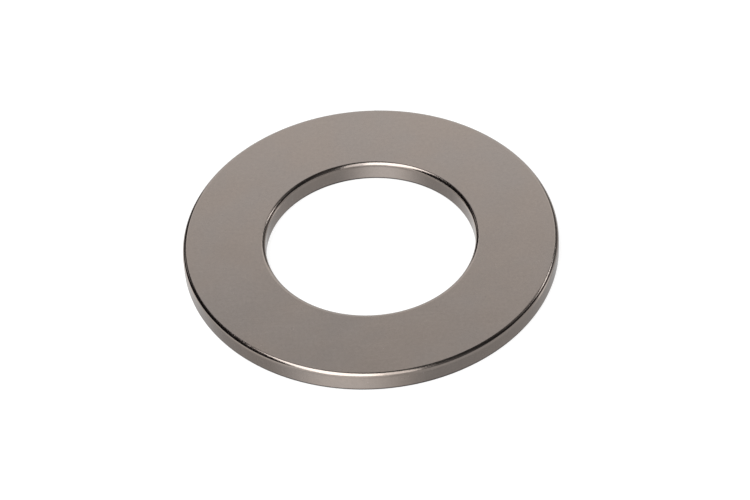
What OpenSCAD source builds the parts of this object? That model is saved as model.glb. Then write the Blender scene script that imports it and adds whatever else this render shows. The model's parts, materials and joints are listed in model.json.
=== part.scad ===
// Flat washer, light pattern, for an 18 mm bolt.
// Millimetres, +Z up along the bolt.
// Origin: centre of the underside, on the axis of the hole.

/* [Size] */

// Diameter over the rim
outer_d = 34; // [30:0.5:44]

// Diameter of the bolt hole
hole_d = 19; // [12:0.5:24]

// Distance between the two flat faces
thickness = 2; // [1:0.1:4]

/* [Edges] */

// Radius rolled onto the rim where it meets each face
rim_round = 0.4; // [0.1:0.05:0.45]

// Radius rolled onto the hole where it meets each face
hole_round = 0.4; // [0.1:0.05:0.45]

/* [Finish] */

// Colour of the bare steel
steel_color = [0.58, 0.55, 0.53];

/* [Hidden] */

$fn = 96;

rim_r = outer_d / 2;
hole_r = hole_d / 2;

// Half of the section through the washer, in the plane of its axis:
// straight faces and walls, joined at the four corners by quarter rounds.
module section() {
  // full height, between the corner centres
  translate([hole_r + hole_round, 0])
    square([rim_r - rim_round - hole_r - hole_round, thickness]);
  // hole wall
  translate([hole_r, hole_round])
    square([hole_round, thickness - 2 * hole_round]);
  // rim wall
  translate([rim_r - rim_round, rim_round])
    square([rim_round, thickness - 2 * rim_round]);
  for (z = [hole_round, thickness - hole_round])
    translate([hole_r + hole_round, z])
      circle(r = hole_round);
  for (z = [rim_round, thickness - rim_round])
    translate([rim_r - rim_round, z])
      circle(r = rim_round);
}

// The whole washer, turned about the axis of the bolt.
module washer() {
  color(steel_color)
    rotate_extrude()
      section();
}

washer();
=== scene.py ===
"""A flat steel washer on a pale floor in soft studio light.

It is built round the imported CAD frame, in metres, with +Z up.
"""

import json
import math

import bmesh
import bpy
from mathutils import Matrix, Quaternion, Vector


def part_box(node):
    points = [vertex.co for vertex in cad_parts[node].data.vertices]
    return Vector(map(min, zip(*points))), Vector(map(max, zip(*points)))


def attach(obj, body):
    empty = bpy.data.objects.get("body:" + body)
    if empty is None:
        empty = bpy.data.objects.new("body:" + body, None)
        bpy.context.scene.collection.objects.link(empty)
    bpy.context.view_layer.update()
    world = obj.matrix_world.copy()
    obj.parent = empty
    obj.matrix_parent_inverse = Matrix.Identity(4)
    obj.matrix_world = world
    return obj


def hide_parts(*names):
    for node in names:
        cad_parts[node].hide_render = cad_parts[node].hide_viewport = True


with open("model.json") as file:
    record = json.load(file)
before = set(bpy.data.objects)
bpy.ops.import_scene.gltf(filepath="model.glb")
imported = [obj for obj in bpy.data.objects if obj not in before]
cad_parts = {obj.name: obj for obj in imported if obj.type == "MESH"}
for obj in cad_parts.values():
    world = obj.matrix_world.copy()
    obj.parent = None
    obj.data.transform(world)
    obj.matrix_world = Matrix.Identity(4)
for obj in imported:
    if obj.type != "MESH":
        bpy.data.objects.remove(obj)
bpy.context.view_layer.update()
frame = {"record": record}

MM = 0.001

# The washer's sizes, all from the frame
low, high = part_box("washer")
bore = next(mount for mount in frame["record"]["mounts"] if mount["name"] == "bolt_hole")
RIM_R = (high.x - low.x) / 2
HOLE_R = bore["dims"]["r_mm"] * MM
WALL_LENGTH = bore["dims"]["length_mm"] * MM
UNDER_Z = low.z
UPPER_Z = high.z
EDGE_R = (UPPER_Z - UNDER_Z - WALL_LENGTH) / 2
CENTRE = (low + high) / 2

# How finely the ring is cut
TURN_STEPS = 384
ROUND_STEPS = 12
FACE_STEPS = 10
WALL_STEPS = 4

# Height of the steel's grain, in metres: only enough to break up what it mirrors
RELIEF = 0.0000002

# The view: down on the washer from the front, with a long lens, the camera turned a little on its axis
VIEW_ELEVATION = math.radians(45.16)
VIEW_DISTANCE = 0.32
VIEW_ROLL = math.radians(3.875)
LENS_MM = 169.7
AIM_RIGHT = 0.348 * MM
AIM_DOWN = 0.467 * MM

# The stage round the washer, in metres: how far off its cards stand, and how far the floor reaches
SOFTBOX_DISTANCE = 1.0
STREAK_DISTANCE = 0.8
FILL_DISTANCE = 0.8
GREY_CARD_DISTANCE = 1.2
FLAG_DISTANCE = 1.1
FLOOR_REACH = 1.0

# Elevation in degrees of the flags' upper edges, well inside the dark ceiling
FLAG_TOP = 60

# The floor paper's own grey, and the light that comes up through it
PAPER_GREY = 0.3
PAPER_GLOW = 0.84

# Each pool of light is at full strength within this many degrees of its middle
POOL_CORE = 3


# ------------------------------------------------------------------ washer

def section():
    """Stations round the ring's section as (radius, height, tilt of the outward normal)."""
    rounds = [
        quarter_round(RIM_R - EDGE_R, UPPER_Z - EDGE_R, 90),
        quarter_round(RIM_R - EDGE_R, UNDER_Z + EDGE_R, 0),
        quarter_round(HOLE_R + EDGE_R, UNDER_Z + EDGE_R, -90),
        quarter_round(HOLE_R + EDGE_R, UPPER_Z - EDGE_R, -180),
    ]
    # the straight stretch after each round: the rim, the underside, the hole and the upper face
    stretch_steps = [WALL_STEPS, FACE_STEPS, WALL_STEPS, FACE_STEPS]
    stations = []
    for number, steps in enumerate(stretch_steps):
        following = rounds[(number + 1) % len(rounds)]
        stations += rounds[number]
        stations += straight(rounds[number][-1], following[0], steps)
    return stations


def quarter_round(centre_r, centre_z, first_tilt):
    """Stations along one rounded corner, with both its ends; the tilts fall by 90 degrees."""
    stations = []
    for step in range(ROUND_STEPS + 1):
        tilt = math.radians(first_tilt - 90 * step / ROUND_STEPS)
        radius = centre_r + EDGE_R * math.cos(tilt)
        height = centre_z + EDGE_R * math.sin(tilt)
        stations.append((radius, height, tilt))
    return stations


def straight(start, end, steps):
    """Stations between two ends of a straight stretch, without the ends."""
    between = []
    for step in range(1, steps):
        share = step / steps
        radius = start[0] + (end[0] - start[0]) * share
        height = start[1] + (end[1] - start[1]) * share
        between.append((radius, height, start[2]))
    return between


def build_washer():
    """The section turned about the axis of the hole."""
    stations = section()
    bm = bmesh.new()
    rings = []
    normals = []
    for turn in range(TURN_STEPS):
        angle = math.tau * turn / TURN_STEPS
        outward = Vector((math.cos(angle), math.sin(angle), 0))
        ring = []
        for radius, height, tilt in stations:
            ring.append(bm.verts.new(outward * radius + Vector((0, 0, height))))
            normals.append(outward * math.cos(tilt) + Vector((0, 0, math.sin(tilt))))
        rings.append(ring)
    for turn, ring in enumerate(rings):
        following = rings[(turn + 1) % TURN_STEPS]
        for here in range(len(stations)):
            after = (here + 1) % len(stations)
            bm.faces.new((ring[here], ring[after], following[after], following[here])).smooth = True
    mesh = bpy.data.meshes.new("steel_washer")
    bm.to_mesh(mesh)
    bm.free()
    # the true normals keep the flats flat and the rounds round
    mesh.normals_split_custom_set_from_vertices(normals)
    washer = bpy.data.objects.new("steel_washer", mesh)
    bpy.context.collection.objects.link(washer)
    return washer


# ------------------------------------------------------------------ steel

class Shading:
    """Short forms for building the node tree of a material or world."""

    def __init__(self, owner):
        self.owner = owner
        owner.use_nodes = True
        self.tree = owner.node_tree
        # a world has no such node
        self.surface = self.tree.nodes.get("Principled BSDF")

    def node(self, kind, inputs, **settings):
        """A new node, with its inputs by name or number and its settings by name."""
        made = self.tree.nodes.new(kind)
        for name, value in settings.items():
            setattr(made, name, value)
        for name, value in inputs.items():
            self.put(value, made.inputs[name])
        return made

    def put(self, value, socket):
        """Links the socket to another node's output, or sets it to a plain value."""
        if isinstance(value, bpy.types.NodeSocket):
            self.tree.links.new(value, socket)
        else:
            socket.default_value = value

    def math(self, operation, first, second=0.0, third=0.0):
        inputs = {0: first, 1: second, 2: third}
        return self.node("ShaderNodeMath", inputs, operation=operation).outputs[0]

    def noise(self, where, scale, detail=2.0, roughness=0.5):
        """Noise about 0, mostly within -0.3 to 0.3; scale is in features per millimetre."""
        inputs = {"Vector": where, "Scale": scale, "Detail": detail, "Roughness": roughness}
        made = self.node("ShaderNodeTexNoise", inputs)
        return self.math("SUBTRACT", made.outputs[0], 0.5)

    def total(self, base, *parts):
        """The base plus each (value, share) pair's product."""
        for value, share in parts:
            base = self.math("MULTIPLY_ADD", value, share, base)
        return base

    def blend(self, share, first, second):
        """From the first colour to the second as share goes from 0 to 1."""
        made = self.node("ShaderNodeMix", {"Factor": share}, data_type="RGBA")
        made.inputs["A"].default_value = (*first, 1)
        made.inputs["B"].default_value = (*second, 1)
        return made.outputs["Result"]

    def ramp(self, value, start, end, low_value, high_value):
        """A smooth step from low_value to high_value while value goes from start to end."""
        inputs = {
            "Value": value,
            "From Min": start,
            "From Max": end,
            "To Min": low_value,
            "To Max": high_value,
        }
        return self.node("ShaderNodeMapRange", inputs, interpolation_type="SMOOTHSTEP").outputs[0]


def steel():
    """Bare tumbled steel.

    It has a fine grain, small pits, hair scratches, burnished rounds and duller sheared walls.
    """
    shade = Shading(bpy.data.materials.new("satin_steel"))
    metres = shade.node("ShaderNodeTexCoord", {}).outputs["Object"]
    place = shade.node("ShaderNodeVectorMath", {0: metres, "Scale": 1 / MM}, operation="SCALE").outputs[0]
    wall, rounds = edge_masks(shade, place)

    blotches = shade.noise(place, 0.35, 3.0)
    grain = shade.noise(place, 6.0, 3.0, 0.6)
    mottle = shade.noise(place, 3.0, 1.0)
    # the highest spots of a noise, kept off the walls
    off_wall = shade.math("SUBTRACT", 1.0, wall)
    spots = shade.ramp(shade.noise(place, 3.5, 2.0, 0.6), 0.17, 0.24, 0.0, 1.0)
    pits = shade.math("MULTIPLY", spots, off_wall)
    scratches = hair_scratches(shade, place)
    shear = shade.math("MULTIPLY", shear_lines(shade, place), wall)

    tone = shade.total(
        1.0,
        (blotches, 0.10),
        (mottle, 0.11),
        (grain, 0.12),
        (pits, -0.05),
        (scratches, 0.03),
        (shear, 0.14),
        (rounds, 0.03),
    )
    # the patches drift a little between a warm and a neutral grey
    warmth = shade.ramp(shade.noise(place, 0.22, 2.0), -0.2, 0.2, 0.0, 1.0)
    steel_colour = shade.blend(warmth, (0.309, 0.271, 0.248), (0.317, 0.271, 0.242))
    inputs = {0: steel_colour, "Scale": tone}
    colour = shade.node("ShaderNodeVectorMath", inputs, operation="SCALE").outputs[0]
    shade.put(colour, shade.surface.inputs["Base Color"])

    rough = shade.total(
        0.175,
        (wall, 0.035),
        (rounds, -0.02),
        (grain, 0.10),
        (blotches, 0.06),
        (pits, 0.08),
        (scratches, 0.04),
        (shear, 0.12),
    )
    shade.put(rough, shade.surface.inputs["Roughness"])

    relief = shade.total(0.0, (grain, 1.0), (pits, -0.8), (scratches, -0.5), (shear, 3.0))
    bump = shade.node("ShaderNodeBump", {"Height": relief, "Distance": RELIEF})
    shade.put(bump.outputs[0], shade.surface.inputs["Normal"])
    shade.surface.inputs["Metallic"].default_value = 1.0
    return shade.owner


def edge_masks(shade, place):
    """Two masks: 1 on the rim and hole walls, and 1 on the rounds that join them to the faces."""
    height = shade.node("ShaderNodeSeparateXYZ", {0: place}).outputs["Z"]
    off_middle = shade.math("ABSOLUTE", shade.math("SUBTRACT", height, CENTRE.z / MM))
    half_wall = WALL_LENGTH / 2 / MM
    half_thickness = (UPPER_Z - UNDER_Z) / 2 / MM
    # the walls' look fades out half of the way up each round
    wall_fade = EDGE_R / MM / 2
    wall = shade.ramp(off_middle, half_wall, half_wall + wall_fade, 1.0, 0.0)
    # the rounds' look fades out just below the faces
    face_fade = EDGE_R / MM / 8
    not_face = shade.ramp(off_middle, half_thickness - face_fade, half_thickness, 1.0, 0.0)
    return wall, shade.math("SUBTRACT", not_face, wall)


def hair_scratches(shade, place):
    """Faint broken hairlines that cross the faces three ways.

    Each set is the zero lines of a noise that is drawn out along its own heading.
    """
    marks = None
    for heading in (25, 80, 145):
        turn = (0, 0, math.radians(heading))
        inputs = {"Vector": place, "Rotation": turn, "Scale": (0.12, 1.6, 1.6)}
        turned = shade.node("ShaderNodeMapping", inputs).outputs[0]
        drawn = shade.math("ABSOLUTE", shade.noise(turned, 1.0, 1.0))
        line = shade.ramp(drawn, 0.0, 0.035, 1.0, 0.0)
        here = shade.ramp(shade.noise(turned, 0.9, 1.0), 0.04, 0.16, 0.0, 1.0)
        broken = shade.math("MULTIPLY", line, here)
        marks = broken if marks is None else shade.math("ADD", marks, broken)
    return marks


def shear_lines(shade, place):
    """Noise drawn out along the axis of the hole, as a blanking punch leaves on the walls."""
    drawn = shade.node("ShaderNodeMapping", {"Vector": place, "Scale": (1, 1, 0.08)}).outputs[0]
    return shade.noise(drawn, 4.5, 2.0, 0.6)


# ------------------------------------------------------------------ stage

def matt(name, grey, glow):
    """Matt grey paper that also gives off a little light of its own."""
    shade = Shading(bpy.data.materials.new(name))
    shade.surface.inputs["Base Color"].default_value = (grey, grey, grey, 1)
    shade.surface.inputs["Roughness"].default_value = 1.0
    shade.surface.inputs["Specular IOR Level"].default_value = 0.0
    shade.surface.inputs["Emission Color"].default_value = (1, 1, 1, 1)
    shade.surface.inputs["Emission Strength"].default_value = glow
    return shade.owner


def lit(name, radiance):
    """An even light, or at a low radiance a dark card: it shows this radiance and nothing else."""
    shade = Shading(bpy.data.materials.new(name))
    shade.surface.inputs["Base Color"].default_value = (0, 0, 0, 1)
    shade.surface.inputs["Specular IOR Level"].default_value = 0.0
    shade.surface.inputs["Emission Color"].default_value = (1, 1, 1, 1)
    shade.surface.inputs["Emission Strength"].default_value = radiance
    return shade.owner


def stage_piece(name, bm, material):
    """A finished object of the stage, which isn't part of the washer."""
    mesh = bpy.data.meshes.new(name)
    bm.to_mesh(mesh)
    bm.free()
    mesh.materials.append(material)
    made = bpy.data.objects.new(name, mesh)
    bpy.context.collection.objects.link(made)
    return made


def build_floor():
    """A round sheet of paper on a light table, so it stays near white in the washer's shadow."""
    bm = bmesh.new()
    bmesh.ops.create_circle(bm, cap_ends=True, segments=64, radius=FLOOR_REACH)
    bmesh.ops.translate(bm, verts=bm.verts, vec=(0, 0, UNDER_Z))
    floor = stage_piece("floor", bm, matt("pale_floor", PAPER_GREY, PAPER_GLOW))
    # the steel mirrors the dimmer lower half of the room, not the white floor
    floor.visible_glossy = False


def direction(azimuth, elevation):
    """Unit vector; azimuth 0 is towards the viewer, positive to the right, both in degrees."""
    turn = math.radians(azimuth)
    climb = math.radians(elevation)
    return Vector((math.sin(turn) * math.cos(climb), -math.cos(turn) * math.cos(climb), math.sin(climb)))


def card(name, distance, near_edge, far_edge, material):
    """A card out of the picture, bent round the washer between two edges.

    Each edge is a list of (azimuth, elevation) points, one for one with the other edge's.
    """
    bm = bmesh.new()
    edges = []
    for edge in (near_edge, far_edge):
        edges.append([bm.verts.new(CENTRE + direction(*point) * distance) for point in edge])
    for step in range(len(near_edge) - 1):
        bm.faces.new((edges[0][step], edges[0][step + 1], edges[1][step + 1], edges[1][step]))
    stage_piece(name, bm, material).visible_camera = False


def flag(name, tone, lower_edge):
    """A dark card that rises from its lower edge to the dark ceiling."""
    upper_edge = [(azimuth, FLAG_TOP) for azimuth, _ in lower_edge]
    card(name, FLAG_DISTANCE, lower_edge, upper_edge, lit("dark_card", tone))


def build_lights():
    """The softbox and the cards that the steel mirrors."""
    # the softbox fades at its right, where a dimmer strip carries on from its far edge
    softbox_edge = [(-160, 66), (-145, 79), (180, 89), (0, 80), (1, 34)]
    card(
        "overhead_softbox",
        SOFTBOX_DISTANCE,
        [(-152, 62), (-122, 64.5), (-88, 63.5), (-54, 49), (-28, 28)],
        softbox_edge,
        lit("softbox_light", 4.0),
    )
    card(
        "softbox_fade",
        SOFTBOX_DISTANCE,
        softbox_edge[2:],
        [(130, 86), (40, 76), (23, 34)],
        lit("softbox_fade_light", 1.9),
    )
    # mirrored as the short bright line at the left of the hole
    card(
        "streak_light",
        STREAK_DISTANCE,
        [(113, 37), (124, 37), (137, 40)],
        [(113, 42), (124, 43), (140, 48)],
        lit("streak_light", 3.7),
    )
    # the pale card that the upper face mirrors in a view from the right
    card(
        "left_back_fill",
        FILL_DISTANCE,
        [(-128, 18), (-142, 18)],
        [(-128, 32), (-142, 32)],
        lit("fill_light", 0.5),
    )
    card(
        "right_grey",
        GREY_CARD_DISTANCE,
        [(6, -35), (50, -35), (97, -35)],
        [(6, 22), (50, 22), (97, 22)],
        lit("grey_card", 0.66),
    )
    left_flag_front = [(-51, 24), (-66, 11), (-84, 10), (-98, 11), (-112, 1)]
    left_flag_back = [(-120, -5), (-128, -9), (-146, -8), (-155, -6)]
    flag("left_flag", 0.01, left_flag_front + left_flag_back)
    flag("right_front_flag", 0.2, [(20, 23), (36, 19)])
    flag("right_middle_flag", 0.12, [(36, 19), (62, 18)])
    flag("right_side_flag", 0.03, [(62, 18), (83, 17), (98, 12), (106, 4)])
    flag("right_back_flag", 0.18, [(106, 4), (112, 0), (124, -2), (145, -3), (151, 0)])


def build_world():
    """A pale room, dark overhead and below the floor.

    It has soft pools of light low down and one dim patch at the back, which the left of the face mirrors.
    """
    # the room's tone at each elevation in degrees: below the floor, the walls, then up to the dark ceiling
    tones = [
        (-90, 0.1), (-62, 0.12), (-50, 0.5), (-44, 0.58), (-20, 0.74), (-8, 0.78), (-3, 1.0),
        (35, 1.1), (42, 1.5), (43.3, 1.36), (44.5, 0.95), (45.3, 0.87), (47, 0.87), (50.5, 0.82),
        (53.5, 0.04),
    ]
    # middle as (azimuth, elevation), reach in degrees and strength of each; the dim patch takes light away
    pools = [
        ((-21, -45), 38, 0.8),
        ((-17, -3), 24, 0.4),
        ((-128, -22), 30, 0.75),
        ((-172, -45), 32, 0.3),
        ((100, -15), 22, 0.75),
        ((-174, 45), 12, -0.12),
    ]
    shade = Shading(bpy.data.worlds.new("studio_room"))
    bpy.context.scene.world = shade.owner
    toward = shade.node("ShaderNodeTexCoord", {}).outputs["Generated"]
    height = shade.node("ShaderNodeSeparateXYZ", {0: toward}).outputs["Z"]
    ramp = shade.node("ShaderNodeValToRGB", {0: shade.math("MULTIPLY_ADD", height, 0.5, 0.5)})
    stops = ramp.color_ramp.elements
    # each stop is made anywhere and then put in its place
    while len(stops) < len(tones):
        stops.new(0.5)
    for stop, (elevation, tone) in zip(stops, tones):
        stop.position = (math.sin(math.radians(elevation)) + 1) / 2
        stop.color = (tone, tone, tone, 1)
    light = ramp.outputs[0]
    for middle, reach, strength in pools:
        inputs = {0: toward, 1: direction(*middle)}
        facing = shade.node("ShaderNodeVectorMath", inputs, operation="DOT_PRODUCT")
        off_axis = shade.math("ARCCOSINE", facing.outputs["Value"])
        pool = shade.ramp(off_axis, math.radians(reach), math.radians(POOL_CORE), 0.0, strength)
        light = shade.math("ADD", light, pool)
    shade.put(light, shade.tree.nodes["Background"].inputs["Color"])


def build_camera():
    """The camera at the photograph's viewing angle."""
    data = bpy.data.cameras.new("camera")
    data.lens = LENS_MM
    data.clip_start = VIEW_DISTANCE / 10
    data.clip_end = VIEW_DISTANCE * 100
    camera = bpy.data.objects.new("camera", data)
    bpy.context.collection.objects.link(camera)
    back = Vector((0, -math.cos(VIEW_ELEVATION), math.sin(VIEW_ELEVATION)))
    up = Vector((0, math.sin(VIEW_ELEVATION), math.cos(VIEW_ELEVATION)))
    camera.location = CENTRE + back * VIEW_DISTANCE
    sight = CENTRE + Vector((AIM_RIGHT, 0, 0)) - up * AIM_DOWN - camera.location
    camera.rotation_mode = "QUATERNION"
    camera.rotation_quaternion = Quaternion(sight, VIEW_ROLL) @ sight.to_track_quat("-Z", "Y")
    bpy.context.scene.camera = camera


build_camera()
washer = build_washer()
washer.data.materials.append(steel())
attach(washer, "root")
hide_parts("washer")
build_floor()
build_lights()
build_world()
bpy.context.scene.view_settings.view_transform = "Standard"
